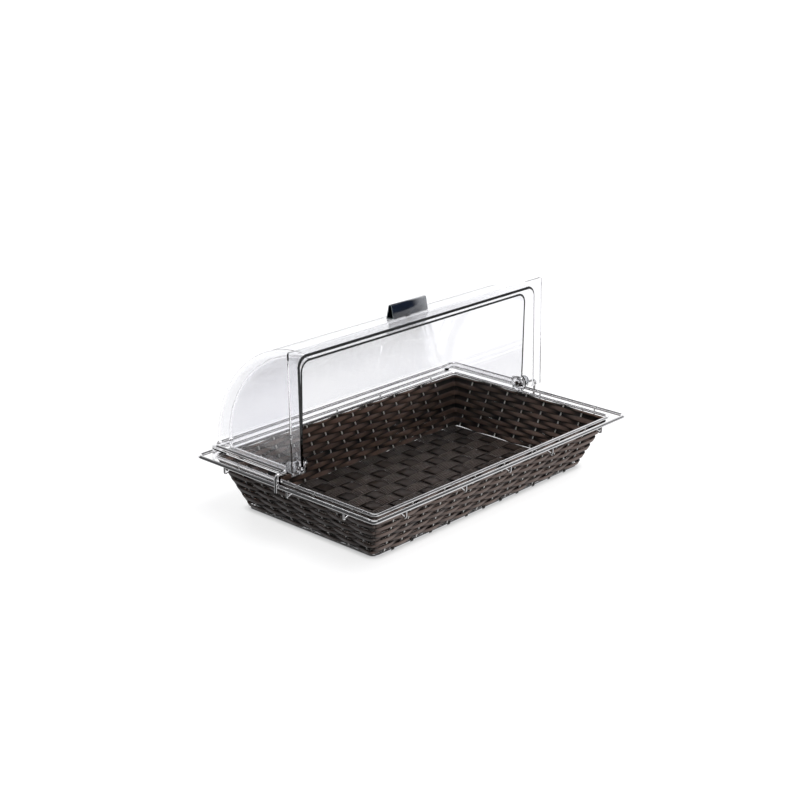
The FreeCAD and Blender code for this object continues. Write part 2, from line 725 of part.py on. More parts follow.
def pivot_disc(side, sign):
    """Flat disc on the pin, inside the fixed hood."""
    start, length = span(sign, INNER_FACE + " - sizes.disc_thick", INNER_FACE + " - sizes.touch_gap")
    disc = cylinder("disc_blank_" + side, "sizes.disc_width / 2", length, start)
    start, length = span(sign, "0", OUT_HALF)
    bore = cylinder("disc_bore_" + side, "sizes.pin_width / 2 + sizes.pin_clear", length, start)
    return combine("Cut", "disc_" + side, [disc, bore])


def pivot_cap(side, sign):
    """Closed cap on the pin's outer end, between the moving hood and the carrier wire."""
    start, length = span(sign, CAP_START, CAP_START + " + sizes.cap_thick")
    cap = cylinder("cap_blank_" + side, "sizes.cap_width / 2", length, start)
    start, length = span(sign, "0", CAP_START + " + sizes.cap_thick / 2 + sizes.touch_gap")
    bore = cylinder("cap_bore_" + side, "sizes.pin_width / 2 + sizes.pin_clear", length, start)
    return combine("Cut", "cap_" + side, [cap, bore])


pivot_group("pivot_pins", pivot_pin)
pivot_group("pivot_discs", pivot_disc)
pivot_group("pivot_caps", pivot_cap)


# Handle.

def polygon(sketch, corners):
    """A closed outline whose corners are tied to expressions."""
    first = sketch.GeometryCount
    count = len(corners)
    places = [V(math.cos(2 * math.pi * i / count), math.sin(2 * math.pi * i / count), 0)
              for i in range(count)]
    for i in range(count):
        sketch.addGeometry(Part.LineSegment(places[i], places[(i + 1) % count]))
    for i in range(count):
        after = first + (i + 1) % count
        sketch.addConstraint(Sketcher.Constraint("Coincident", first + i, 2, after, 1))
    for i, (across, up) in enumerate(corners):
        for kind, expression, value in (("DistanceX", across, places[i].x),
                                        ("DistanceY", up, places[i].y)):
            index = sketch.addConstraint(Sketcher.Constraint(kind, -1, 1, first + i, 1, value))
            sketch.setExpression("Constraints[%d]" % index, expression)


# a folded sheet tube, narrow at the top, whose base is cut to the hood's curve
handle_body = doc.addObject("PartDesign::Body", "handle_tube")
profile = attached_sketch(handle_body, "handle_profile", "YZ_Plane")
MID, TOP = "sizes.handle_back", "fits.outer_radius + sizes.handle_height"
SHEET, LOW = "sizes.handle_sheet", "fits.outer_radius - sizes.handle_sheet * 2"
polygon(profile, [(MID + " - sizes.handle_base / 2", LOW), (MID + " + sizes.handle_base / 2", LOW),
                  (MID + " + sizes.handle_fold / 2", TOP), (MID + " - sizes.handle_fold / 2", TOP)])
INSET = " - sizes.handle_sheet)"
polygon(profile, [(MID + " - (sizes.handle_base / 2" + INSET, "fits.outer_radius + " + SHEET),
                  (MID + " + (sizes.handle_base / 2" + INSET, "fits.outer_radius + " + SHEET),
                  (MID + " + (sizes.handle_fold / 2" + INSET, TOP + " - " + SHEET),
                  (MID + " - (sizes.handle_fold / 2" + INSET, TOP + " - " + SHEET)])
pad = handle_body.newObject("PartDesign::Pad", "handle_pad")
pad.Profile = profile
pad.SideType = "Symmetric"
pad.setExpression("Length", "sizes.handle_length")
seat = cylinder("handle_seat", "fits.outer_radius + sizes.touch_gap", "fits.outer_length")
handle_bore = doc.addObject("Part::Cylinder", "handle_bore")
bind(handle_bore, Radius="sizes.screw_width / 2 + sizes.pin_clear",
     Height="fits.outer_radius + sizes.handle_sheet * 2", Placement__Base__y="sizes.handle_back")
seat_and_bore = combine("MultiFuse", "seat_and_bore", [seat, handle_bore])
handle = keep(at_hinge(combine("Cut", "handle", [handle_body, seat_and_bore])))

# one screw down through the handle's base and the hood, with its nut under the hood
ROOF = "sqrt(fits.outer_radius ^ 2 - sizes.handle_back ^ 2)"
HEAD_LOW = "fits.outer_radius + sizes.handle_sheet + sizes.touch_gap"
NUT_TOP = "sqrt((fits.outer_radius - sizes.hood_wall) ^ 2 - (%s) ^ 2) - sizes.touch_gap"
NUT_TOP = NUT_TOP % "sizes.handle_back + sizes.nut_width / 2"


def upright(name, radius, low, high):
    """A round solid along Z on the screw's line."""
    obj = doc.addObject("Part::Cylinder", name)
    bind(obj, Radius=radius, Height="%s - (%s)" % (high, low),
         Placement__Base__y="sizes.handle_back", Placement__Base__z=low)
    return obj


shank = upright("shank", "sizes.screw_width / 2", NUT_TOP + " - sizes.nut_thick", HEAD_LOW)
head = upright("screw_head", "sizes.screw_head / 2", HEAD_LOW, HEAD_LOW + " + sizes.screw_head_thick")
keep(at_hinge(combine("MultiFuse", "handle_screw", [shank, head])))
nut_blank = upright("nut_blank", "sizes.nut_width / 2", NUT_TOP + " - sizes.nut_thick", NUT_TOP)
nut_bore = upright("nut_bore", "sizes.screw_width / 2 + sizes.pin_clear",
                   NUT_TOP + " - sizes.nut_thick", NUT_TOP)
keep(at_hinge(combine("Cut", "handle_nut", [nut_blank, nut_bore])))


# Check and write.

doc.recompute()
for obj in doc.Objects:
    if "Invalid" in obj.State or "Error" in obj.State:
        raise RuntimeError("%s did not compute: %s" % (obj.Label, obj.State))
os.makedirs("parts", exist_ok=True)
for node in nodes:
    if node.Shape.isNull() or not node.Shape.isValid():
        raise RuntimeError("%s has no valid shape" % node.Label)
for node in nodes:
    node.Shape.exportStep("parts/%s.step" % node.Label)
    box = node.Shape.BoundBox
    print("%-16s %3d solids  x %.1f..%.1f  y %.1f..%.1f  z %.2f..%.2f"
          % (node.Label, len(node.Shape.Solids), box.XMin, box.XMax, box.YMin, box.YMax,
             box.ZMin, box.ZMax))
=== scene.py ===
# %% [markdown]
# # Countertop bread display bin
# A woven basket hangs in a chrome wire flange, and a clear roll-top hood covers its back half. The
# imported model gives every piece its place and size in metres, so this script only adds looks: woven
# surfaces, weld beads, finishes, light and a camera.

# %% Load the fixed frame
import json
import math
from collections import namedtuple
import bpy
import numpy as np
from mathutils import Matrix, Vector


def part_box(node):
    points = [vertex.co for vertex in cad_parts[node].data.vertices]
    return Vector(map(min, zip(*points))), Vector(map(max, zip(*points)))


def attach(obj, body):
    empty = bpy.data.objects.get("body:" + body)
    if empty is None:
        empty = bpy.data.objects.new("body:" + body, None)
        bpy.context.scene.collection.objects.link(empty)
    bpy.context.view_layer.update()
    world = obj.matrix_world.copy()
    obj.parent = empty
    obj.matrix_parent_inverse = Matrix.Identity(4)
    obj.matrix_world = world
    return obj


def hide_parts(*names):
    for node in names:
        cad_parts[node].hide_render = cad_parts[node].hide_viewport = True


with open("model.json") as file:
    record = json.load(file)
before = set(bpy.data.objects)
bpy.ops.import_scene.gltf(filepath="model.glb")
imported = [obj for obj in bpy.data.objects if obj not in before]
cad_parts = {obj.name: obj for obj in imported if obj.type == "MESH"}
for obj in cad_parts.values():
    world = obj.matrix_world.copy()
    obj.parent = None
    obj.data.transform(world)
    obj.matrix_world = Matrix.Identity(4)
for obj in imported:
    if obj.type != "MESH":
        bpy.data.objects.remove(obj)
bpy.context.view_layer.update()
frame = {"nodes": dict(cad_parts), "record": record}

nodes = frame["nodes"]


def add(name, data):
    """An object for a mesh, light or camera, linked to the scene at the origin."""
    made = bpy.data.objects.new(name, data)
    bpy.context.scene.collection.objects.link(made)
    return made


# %% [markdown]
# ## The camera
# The photograph was taken with a medium telephoto lens, from the left of the front and a little above.
# The flange wire is a rectangle of known size, so its four corners fix the camera's place, turn and
# focal length. The numbers are that fit.

# %% Camera
AZIMUTH, ELEVATION, ROLL = math.radians(-48.112), math.radians(19.262), math.radians(0.661)
AIM = Vector((0.0893, 0.1171, 0.0762))
DISTANCE, SIGHT = 2.2784, 100   # metres to AIM, and to past the floor's far edge
LENS, SENSOR = 69.86, 36        # millimetres

back = Vector((math.sin(AZIMUTH) * math.cos(ELEVATION), -math.cos(AZIMUTH) * math.cos(ELEVATION),
               math.sin(ELEVATION)))
right = Vector((math.cos(AZIMUTH), math.sin(AZIMUTH), 0))
up = back.cross(right)
right, up = (right * math.cos(ROLL) + up * math.sin(ROLL),
             up * math.cos(ROLL) - right * math.sin(ROLL))
camera_data = bpy.data.cameras.new("camera")
camera_data.sensor_width, camera_data.lens = SENSOR, LENS
camera_data.clip_end = SIGHT
camera = add("camera", camera_data)
turn = Matrix((right, up, back)).transposed().to_4x4()
camera.matrix_world = Matrix.Translation(AIM + back * DISTANCE) @ turn
bpy.context.scene.camera = camera
print("camera at", camera.location)

# %% [markdown]
# ## Socket maths
# A procedural material is a formula drawn as nodes. The class below wraps one socket, so that ordinary
# Python operators add the Math nodes, and a formula in the code reads like the formula it stands for.

# %% A shader socket that takes part in sums
class Flow:
    """One output socket. +, -, * and ** add Math nodes; a number may stand left of + and -."""

    def __init__(self, finish, socket):
        self.finish, self.socket = finish, socket

    def combine(self, operation, first, second):
        return self.finish.node("Math", {0: first, 1: second}, operation=operation)

    def __add__(self, other): return self.combine("ADD", self, other)
    def __radd__(self, other): return self.combine("ADD", other, self)
    def __sub__(self, other): return self.combine("SUBTRACT", self, other)
    def __rsub__(self, other): return self.combine("SUBTRACT", other, self)
    def __mul__(self, other): return self.combine("MULTIPLY", self, other)
    def __pow__(self, other): return self.combine("POWER", self, other)

# %% A finish: one material and the methods that add its nodes
class Finish:
    """A material, or the room's background, whose shader is fed by name; node() adds other nodes."""

    def __init__(self, name, room=None, **constants):
        self.material = room or bpy.data.materials.new(name)
        self.material.use_nodes = True
        self.tree = self.material.node_tree
        self.shader = self.tree.nodes["Background" if room else "Principled BSDF"]
        self.paint(**constants)

    def feed(self, socket, value):
        """Links a Flow to a socket, or sets a plain value on it."""
        if isinstance(value, Flow):
            self.tree.links.new(value.socket, socket)
        elif hasattr(value, "__len__") and len(value) == 3 and len(socket.default_value) == 4:
            socket.default_value = (*value, 1)
        else:
            socket.default_value = value

    def node(self, kind, inputs=None, out=0, **settings):
        """Adds a node: settings first, then the values or links of its sockets."""
        node = self.tree.nodes.new("ShaderNode" + kind)
        for key, value in settings.items():
            setattr(node, key, value)
        for key, value in (inputs or {}).items():
            self.feed(node.inputs[key], value)
        return Flow(self, node.outputs[out])

    def paint(self, **sockets):
        """Feeds the shader's own sockets by name: Base_Color=..., Roughness=..., Normal=..."""
        for socket, value in sockets.items():
            self.feed(self.shader.inputs[socket.replace("_", " ")], value)

    def place(self, coordinates="Object", scale=(1, 1, 1)):
        """Object or UV coordinates, stretched by scale."""
        spot = self.node("TexCoord", out=coordinates)
        return self.node("Mapping", {"Vector": spot, "Scale": scale})

    def part(self, vector, axis):
        """The X, Y or Z of a vector."""
        return self.node("SeparateXYZ", {0: vector}, out=axis)

    def unsigned(self, value):
        """A value without its sign."""
        return self.node("Math", {0: value}, operation="ABSOLUTE")

    def noise(self, where, detail, scale=1.0):
        """Clouds between 0 and 1; detail adds finer ones on top."""
        return self.node("TexNoise", {"Vector": where, "Scale": scale, "Detail": detail})

    def ramp(self, value, *stops):
        """Colours at rising values, blended between them."""
        colours = self.node("ValToRGB", {"Fac": value})
        elements = colours.socket.node.color_ramp.elements
        for place, _ in stops[2:]:
            elements.new(place)
        for element, (place, colour) in zip(elements, stops):
            element.position, element.color = place, (*colour, 1)
        return colours

    def step(self, value, low, high):
        """0 below low, 1 above high, and a smooth rise between."""
        return self.node("MapRange", {"Value": value, "From Min": low, "From Max": high},
                         interpolation_type="SMOOTHSTEP")

    def bump(self, height, millimetres, strength=1.0):
        """A relief that is so many millimetres deep where height goes from 0 to 1."""
        return self.node("Bump", {"Height": height, "Distance": millimetres / 1000,
                                  "Strength": strength})

print("ready to mix finishes")

# %% [markdown]
# ## Surfaces from arrays
# Every new piece is a grid of points worked out by a formula, with one face between each four
# neighbours. Wrapping a grid on itself closes a tube, and a cap closes its ends. Writing the faces as
# index arithmetic on a whole array keeps Python out of the inner loop.

# %% From grids of points to a mesh piece
MM = 0.001


def piece(name, grids, body, finish, replaces=(), wrap=(False, True), caps=True, uv=None,
          proud=None):
    """One mesh from an array (patches, rows, columns, 3) of points in millimetres.

    wrap says whether rows and columns close on themselves; caps closes open rows with one face each.
    uv holds (u, v) per grid point, one row and column longer where the grid wraps. proud holds, per
    grid point, how far the surface stands out of the weave, from -1 to 1; finishes read it by name to
    paint a highlight where it stands out and shade where it dips.
    """
    count, rows, columns, _ = grids.shape
    index = np.arange(count * rows * columns).reshape(count, rows, columns)
    ring = np.concatenate([index, index[:, :1]], 1) if wrap[0] else index
    ring = np.concatenate([ring, ring[:, :, :1]], 2) if wrap[1] else ring
    quads = np.stack([ring[:, :-1, :-1], ring[:, :-1, 1:], ring[:, 1:, 1:], ring[:, 1:, :-1]], -1)
    faces = quads.reshape(-1, 4)
    points = grids.reshape(-1, 3) * MM
    a, b, c, d = (points[faces[:, k]] for k in range(4))
    ends = np.concatenate([index[:, 0, ::-1], index[:, -1, :]]) if caps and not wrap[0] else None
    volume = np.einsum("ij,ij->", a, np.cross(b, c)) + np.einsum("ij,ij->", a, np.cross(c, d))
    corner = slice(None, None, -1 if volume < 0 else 1)      # faces of an inside-out grid are turned
    polygons = faces[:, corner].tolist()
    if ends is not None:
        polygons += ends[:, corner].tolist()
    mesh = bpy.data.meshes.new(name)
    mesh.from_pydata(points.tolist(), [], polygons)
    layer = mesh.uv_layers.new(name="UVMap")
    if uv is not None:
        u = np.stack([uv[:, :-1, :-1], uv[:, :-1, 1:], uv[:, 1:, 1:], uv[:, 1:, :-1]], -2)
        on_quads = u.reshape(-1, 4, 2)[:, corner].reshape(-1, 2)
        full = np.zeros((len(mesh.loops), 2))
        full[:len(on_quads)] = on_quads
        layer.data.foreach_set("uv", full.ravel())
    if proud is not None:
        mesh.attributes.new("proud", "FLOAT", "POINT").data.foreach_set("value", proud.ravel())
    mesh.shade_smooth()
    if ends is not None:
        mesh.polygons.foreach_set("use_smooth", np.arange(len(polygons)) < len(faces))
    mesh.materials.append(finish.material)
    made = add(name, mesh)
    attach(made, body)
    if replaces:
        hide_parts(*replaces)
    print("%-20s %6d faces" % (name, len(polygons)))


def ring_of(count):
    """count angles once round, from 0."""
    return np.arange(count) / count * 2 * math.pi


def rounded(angle, squareness):
    """cos(angle) with its sign, but |cos| raised to squareness: below 1 a section gets fuller."""
    return np.sign(np.cos(angle)) * np.abs(np.cos(angle)) ** squareness


def turned_profile(centre, axis, profile, around):
    """A profile of (distance along the axis, radius) turned once round it: centre + axis s + r(t)."""
    axis = np.array(axis, float)
    side = np.array([0, 0, 1.0]) if abs(axis[2]) < 0.9 else np.array([1.0, 0, 0])
    a = np.cross(axis, side)
    b = np.cross(axis, a)
    s, r = np.array(profile, float).T
    t = ring_of(around)
    out = np.cos(t)[None, :, None] * a + np.sin(t)[None, :, None] * b
    return np.array(centre, float) + s[:, None, None] * axis + r[:, None, None] * out


def wear(name, finish):
    """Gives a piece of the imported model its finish."""
    materials = nodes[name].data.materials
    materials.clear()
    materials.append(finish.material)


print("ready to shape pieces")

# %% [markdown]
# ## Sizes the surfaces share
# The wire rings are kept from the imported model, so their boxes give the basket's taper. The sizes of
# all pieces are in millimetres, and `piece` turns them into metres.

# %% Rings and hinge line
HINGE_Y, HINGE_Z = 5.0, 96.35
BASE_WIRE, RIM_WIRE = 3.5, 4.0


def half_size(node, wire):
    """Half length, half depth and height of a wire ring's centre line."""
    low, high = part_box(node)
    return ((high.x - low.x) / 2 / MM - wire / 2, (high.y - low.y) / 2 / MM - wire / 2,
            (high.z + low.z) / 2 / MM)


base_x, base_y, base_z = half_size("base_wire", BASE_WIRE)
rim_x, rim_y, rim_z = half_size("rim_wire", RIM_WIRE)
base_x, base_y, rim_x, rim_y = (round(value, 1) for value in (base_x, base_y, rim_x, rim_y))
print("base ring %.1f x %.1f at %.2f, rim ring %.1f x %.1f at %.2f"
      % (base_x, base_y, base_z, rim_x, rim_y, rim_z))

# %% [markdown]
# ## The woven finish
# The basket is plaited from flat plastic strips made to look like rattan: dark brown, with a fine grain
# along each strip and a satin gloss. A painted highlight lightens each strip where it stands proud of
# the weave, and painted shade darkens it where it dips behind a neighbour and along its edges. The
# grain has to follow the strip round its bends, so the pattern reads the piece's own UV map, where U
# runs along a strip and V counts strips. A pattern on Object coordinates would cut straight across
# them.

# %% Rattan finish
def rattan(name, dark, light, grain=0.10, ior=1.46, dip_shade_and_gloss=0.30):
    """Streaks along U, a tint per strip from the whole part of V, and duller strip edges darkened with
    painted shade.

    Streaks change about every 2 units of U and 16 times across a strip; patches are broader. What dips
    behind a neighbour is duller, and darker with painted shade, than what stands proud of it, which is
    lighter with a painted highlight.
    """
    finish = Finish(name, IOR=ior)
    v = finish.part(finish.node("TexCoord", out="UV"), "Y")
    strip_number = finish.node("Math", {0: v}, operation="FLOOR")
    tint = finish.node("TexWhiteNoise", {"W": strip_number}, noise_dimensions="1D")
    streaks = finish.noise(finish.place("UV", (0.5, 16, 1)), 4.0)
    patches = finish.noise(finish.place("UV", (0.22, 1.3, 1)), 2.0)
    # painted shade along each strip's edges, where it meets its neighbours; the same mask also raises
    # roughness there
    edge_shade_and_dullness = finish.unsigned((v - strip_number) * 2.0 - 1.0) ** 4.0
    proud = finish.node("Attribute", out="Fac", attribute_name="proud")
    # proud times dip: painted highlight where a strip stands proud, painted shade where it dips behind
    # a neighbour
    share = streaks * 0.5 + patches * 0.55 + tint * 0.2 + proud * dip_shade_and_gloss - edge_shade_and_dullness * 0.8 - 0.02
    finish.paint(Base_Color=finish.ramp(share, (0.25, dark), (0.80, light)),
                 Roughness=0.36 + streaks * 0.2 + edge_shade_and_dullness * 0.4 - proud * dip_shade_and_gloss * 0.3,
                 Normal=finish.bump(streaks, grain, 0.8))
    return finish


wall_rattan = rattan("wall_rattan", (0.0030, 0.0020, 0.0018), (0.120, 0.075, 0.057))
print("finish:", wall_rattan.material.name)

# %% [markdown]
# ## Woven walls
# On the real basket each row is one flat strip that passes in front of one upright wire and behind the
# next, and the next row does the opposite. The middle line of a strip is a cosine that swings from one
# side of the wires to the other, and its section is a flat rounded lozenge that is widest where it
# lies on a wire and squeezed narrow where it crosses between them. Rounded corners carry the line
# from one wall to the next.

# %% Wall layout
ROWS = 12
ROW_LOW, ROW_PITCH = 4.1, 5.95      # foot of the bottom row, and the step from row to row
TOP_SHARE = 0.59                    # height of the top row as a share of the others
CORNER, OVERLAP = 8.0, 0.5          # corner radius, and how far strips of two walls overlap there
FOOT_GAP, HEAD_GAP = 0.1, 0.3       # air left to the base wire and to the rim wire
LIFT = 1.62                         # swing of a strip's middle line to each side of the wires
STRIP_THICK, STRIP_SQUARENESS = 1.1, 0.75
STRIP_WIDTH, STRIP_SWELL = 6.1, 1.5                         # squeezed width, and its gain on a wire
ROW_WOBBLE, WIDTH_WOBBLE, THICK_WOBBLE = 0.12, 0.15, 0.05   # mm, mm and a share of the thickness
UV_LENGTH = 8.0                     # length of strip per unit of U
NEXT_STRIP, NEXT_BAR = 40.0, 23.0   # how far U moves on from one strip, or floor bar, to the next
EDGE_GAP = 0.02                     # share of V left free at each strip's edges

# direction along the wall, outward normal, number of wires, half span of the wires at the base (0)
# and at the rim (1), their shift along the wall there, and 1 where the bottom row passes outside
# the first wire
Wall = namedtuple("Wall", "along out count span0 span1 off0 off1 first")
walls = {
    "front": Wall((1, 0), (0, -1), 14, 197.6, 197.6, 0.0, -9.0, 0),
    "far": Wall((0, 1), (1, 0), 7, 101.4, 102.6, 6.0, 3.0, 1),
    "back": Wall((-1, 0), (0, 1), 14, 197.6, 197.6, 0.0, 0.0, 1),
    "near": Wall((0, -1), (-1, 0), 7, 101.4, 102.6, 6.0, 3.0, 1),
}
sides = list(walls)


def stays_round(side):
    """True where a strip keeps to its side round the corner after this wall, instead of crossing."""
    following = sides[(sides.index(side) + 1) % 4]
    return (walls[side].count - 1 + walls[side].first) % 2 == walls[following].first


def strip_uv(along, numbers, offset, around):
    """U is length along a strip, moved on by offset times its number; V is its number plus a share."""
    turn = np.linspace(0, 1, around + 1) * 2 * math.pi
    number = numbers[:, None, None]
    v = number + EDGE_GAP + (0.5 - EDGE_GAP) * (1 + np.cos(turn))
    u = np.broadcast_to(along[..., None] / UV_LENGTH, (len(numbers), along.shape[1], around + 1))
    return np.stack([u + offset * number, np.broadcast_to(v, u.shape)], -1)


def stops(half, span, shift, count):
    """Places along a wall of its start, its wires and its end, at one height."""
    end = half - CORNER + CORNER * math.pi / 4 + OVERLAP
    return np.array([-end, *(shift + np.linspace(-span, span, count)), end])


row_edges = ROW_LOW + ROW_PITCH * np.append(np.arange(ROWS), ROWS - 1 + TOP_SHARE)
print("rows from %.1f to %.1f mm" % (row_edges[0], row_edges[-1]))

# %% Four walls
def woven_wall(side, steps=10, around=10):
    """Strips as a grid (row, station, section angle).

    Station t counts wires: 1 is the first wire. The swing is LIFT cos(pi (t - 1)), alternating from
    row to row, and slows to a quarter turn towards each corner. Height z gives the wall's half length
    and distance out, so the section follows the taper, and the swing is square to it.
    """
    along, out, count, span0, span1, off0, off1, first = walls[side]
    along, out = np.array((*along, 0.0)), np.array((*out, 0.0))
    t = np.linspace(0, count + 1, (count + 1) * steps + 1)
    before = 0 if stays_round(sides[sides.index(side) - 1]) else (t - 1) * math.pi / 2
    after = 0 if stays_round(side) else (t - count) * math.pi / 2
    angle = np.where(t < 1, before, (t - 1) * math.pi)
    angle = np.where(t > count, (count - 1) * math.pi + after, angle)
    rows = np.arange(ROWS)
    swing = np.where((rows + first) % 2, 1.0, -1.0)[:, None] * np.cos(angle)

    chance = np.random.default_rng(sum(map(ord, side)))
    knots = chance.normal(0, 1, (3, ROWS, count + 3))
    wobble = np.array([[np.interp(t, np.arange(-1, count + 2), line) for line in kind]
                       for kind in knots])
    middle = (row_edges[:-1] + row_edges[1:])[:, None] / 2 + wobble[0] * ROW_WOBBLE
    share = np.append(np.ones(ROWS - 1), TOP_SHARE)[:, None]
    width = share * (STRIP_WIDTH + STRIP_SWELL * np.cos(angle) ** 2 + wobble[1] * WIDTH_WOBBLE)
    height = STRIP_THICK * (1 + THICK_WOBBLE * wobble[2])

    turn = ring_of(around)
    thick = np.sin(turn)
    z = middle[..., None] + width[..., None] / 2 * rounded(turn, STRIP_SQUARENESS)
    rise = (z - base_z) / (rim_z - base_z)
    long = side in ("front", "back")
    half0, half1 = (base_x, rim_x) if long else (base_y, rim_y)
    out0, out1 = (base_y, rim_y) if long else (base_x, rim_x)
    place0, place1 = (np.interp(t, np.arange(count + 2), stops(*ends, count))[None, :, None]
                      for ends in ((half0, span0, off0), (half1, span1, off1)))
    u = place0 + (place1 - place0) * rise
    half = half0 + (half1 - half0) * rise
    reach = out0 + (out1 - out0) * rise

    straight = np.clip(u, CORNER - half, half - CORNER)
    lean = (u - straight) / CORNER
    shift = LIFT * swing[..., None] + height[..., None] / 2 * thick
    tilt = math.atan2(out1 - out0, rim_z - base_z)
    z = np.clip(z - shift * math.sin(tilt), base_z + BASE_WIRE / 2 + FOOT_GAP,
                rim_z - RIM_WIRE / 2 - HEAD_GAP)
    radius = CORNER + shift * math.cos(tilt)
    across = straight + radius * np.sin(lean)
    away = reach - CORNER + radius * np.cos(lean)
    grid = across[..., None] * along + away[..., None] * out + z[..., None] * np.array((0, 0, 1.0))
    piece("weave_" + side, grid, "basket", wall_rattan, replaces=["strips_" + side],
          uv=strip_uv(place0[..., 0], rows, NEXT_STRIP, around), proud=swing[..., None] * thick)


for side in walls:
    woven_wall(side)

# %% [markdown]
# ## Woven floor
# The floor is plaited too: smooth wide bands run from front to back, and between them pass groups of
# narrow strands along the basket, so that humps of smooth band and patches of fine ribs make a
# checkerboard. Both are carried along a cosine; where one is up the other is down.

# %% Floor layout
FLOOR_Z, FLOOR_RISE = 5.62, 1.15
BANDS, GROUPS, STRANDS = 14, 10, 6
BAND_PITCH, GROUP_PITCH = 30.4, 22.7
BAND_WIDTH, BAND_SWELL, BAND_THICK = 21.0, 1.6, 1.2
BAND_SQUARENESS, PRESS = 0.7, 1.6
GROUP_GAP = 1.0
STRAND_PITCH = (GROUP_PITCH - GROUP_GAP) / STRANDS
STRAND_WIDTH, STRAND_THICK = STRAND_PITCH * 0.80, 1.7
STRAND_END, BAND_END = 10.7, 1.2    # past the last band's middle, and short of the last group's edge
WANDER, WANDER_KNOTS = 0.16, 30     # sideways, and at so many places along a strand
STATIONS = 12                       # points along a bar for each bar it crosses
band_x = (np.arange(BANDS) - (BANDS - 1) / 2) * BAND_PITCH
group_y = (np.arange(GROUPS) - (GROUPS - 1) / 2) * GROUP_PITCH
reach_x, reach_y = band_x[-1] + STRAND_END, group_y[-1] + GROUP_PITCH / 2 - BAND_END


def floor_bars(name, finish, node, points, swing, sideways, width, thick, around, first, squareness):
    """Flat bars: section w/2 cos(s)^squareness sideways and t/2 sin(s) up, numbered from first.

    points is (bars, stations, 2) in plan; swing (bars, stations) goes from -1, down, to 1, up. The
    rise is FLOOR_RISE tanh(PRESS swing) / tanh(PRESS), which is flatter at its ends than the swing.
    """
    s = ring_of(around)
    side = np.broadcast_to(width, swing.shape)[..., None] / 2 * rounded(s, squareness)
    x = points[..., 0][..., None] + side * sideways[0]
    y = points[..., 1][..., None] + side * sideways[1]
    level = FLOOR_Z + FLOOR_RISE * np.tanh(PRESS * swing) / math.tanh(PRESS)
    z = level[..., None] + thick / 2 * np.sin(s)
    run = points @ np.array([sideways[1], sideways[0]])
    piece(name, np.stack([x, y, z], -1), "basket", finish, replaces=[node],
          uv=strip_uv(run, np.arange(len(swing)) + first, NEXT_BAR, around),
          proud=swing[..., None] * np.sin(s))


print("floor %.1f x %.1f mm" % (2 * reach_x, 2 * reach_y))

# %% Wide bands, front to back
y = np.linspace(-reach_y, reach_y, GROUPS * STATIONS + 1)
sign = np.where(np.arange(BANDS) % 2, 1.0, -1.0)[:, None]
swing = np.cos((y - group_y[0]) / GROUP_PITCH * math.pi) * sign
line = np.stack([np.broadcast_to(band_x[:, None], swing.shape),
                 np.broadcast_to(y, swing.shape)], -1)
band_rattan = rattan("band_rattan", (0.004, 0.0028, 0.0022), (0.020, 0.013, 0.010), 0.05, 1.25, 0.15)
floor_bars("floor_bands", band_rattan, "floor_warp", line, swing, (1, 0),
           BAND_WIDTH + BAND_SWELL * swing, BAND_THICK, around=12, first=100,
           squareness=BAND_SQUARENESS)

# %% Narrow strands, along the basket
x = np.linspace(-reach_x, reach_x, BANDS * STATIONS + 1)
offsets = (np.arange(STRANDS) - (STRANDS - 1) / 2) * STRAND_PITCH
strand_y = (group_y[:, None] + offsets).ravel()
sign = np.repeat(np.where(np.arange(GROUPS) % 2, -1.0, 1.0), STRANDS)[:, None]
swing = np.cos((x - band_x[0]) / BAND_PITCH * math.pi) * sign
chance = np.random.default_rng(7)
knots = chance.normal(0, WANDER, (len(strand_y), WANDER_KNOTS))
wander = np.array([np.interp(x, np.linspace(-reach_x, reach_x, WANDER_KNOTS), line)
                   for line in knots])
line = np.stack([np.broadcast_to(x, swing.shape), strand_y[:, None] + wander], -1)
strand_rattan = rattan("strand_rattan", (0.005, 0.0038, 0.0032), (0.056, 0.041, 0.034), dip_shade_and_gloss=0.15)
floor_bars("floor_strands", strand_rattan, "floor_weft", line, swing, (0, 1),
           STRAND_WIDTH, STRAND_THICK, around=8, first=200, squareness=1.0)

# %% [markdown]
# ## Ties round the base wire
# Flat black ties hold the basket's foot to the base wire. Each is a sleeve round the wire: a ring with
# three shallow ridges side by side, pressed flat where the basket stands on it.

# %% Ties
tie_finish = Finish("tie_finish", IOR=1.5)
fuzz = tie_finish.noise(tie_finish.place("Object", (900, 900, 900)), 3.0)
tie_finish.paint(Base_Color=tie_finish.ramp(fuzz, (0.3, (0.006, 0.0055, 0.005)),
                                            (0.8, (0.03, 0.026, 0.023))),
                 Roughness=0.35 + fuzz * 0.3, Normal=tie_finish.bump(fuzz, 0.08))
TIES, TIE_PITCH, TIE_WIDTH, TIE_THICK = 11, 36.4, 5.0, 0.45
TIE_GAP = 0.01      # air between tie and wire


def ties(side, sign, across=19, around=28):
    """Radius of the ring: wire radius + thickness (0.7 + 0.3 |sin(3 pi s)|), never below the floor."""
    s = np.linspace(0, 1, across)
    ridge = 0.7 + 0.3 * np.abs(np.sin(3 * math.pi * s))
    outer = BASE_WIRE / 2 + TIE_THICK * ridge
    width = np.concatenate([s, s[::-1]]) * TIE_WIDTH - TIE_WIDTH / 2
    radius = np.concatenate([outer, np.full_like(s, BASE_WIRE / 2 + TIE_GAP)])
    t = ring_of(around)
    x = (np.arange(TIES) - (TIES - 1) / 2) * TIE_PITCH
    grid = np.empty((TIES, len(t), len(radius), 3))
    grid[..., 0] = x[:, None, None] + width
    grid[..., 1] = sign * base_y + radius * np.cos(t)[:, None]
    grid[..., 2] = np.maximum(base_z + radius * np.sin(t)[:, None], 0)
    piece("ties_" + side, grid, "basket", tie_finish,
          replaces=["lashings_" + side], wrap=(True, True), caps=False)


ties("front", -1)
ties("back", 1)

# %% [markdown]
# ## Chrome wire
# The frame is bright chrome plate. Chrome has almost no colour of its own: it shows the room, so its
# look comes from low roughness and from what stands round it. A trace of uneven plating in the
# roughness and a very shallow ripple keep the reflections from looking drawn with a ruler. The upright
# wires are duller and paler than the rest.

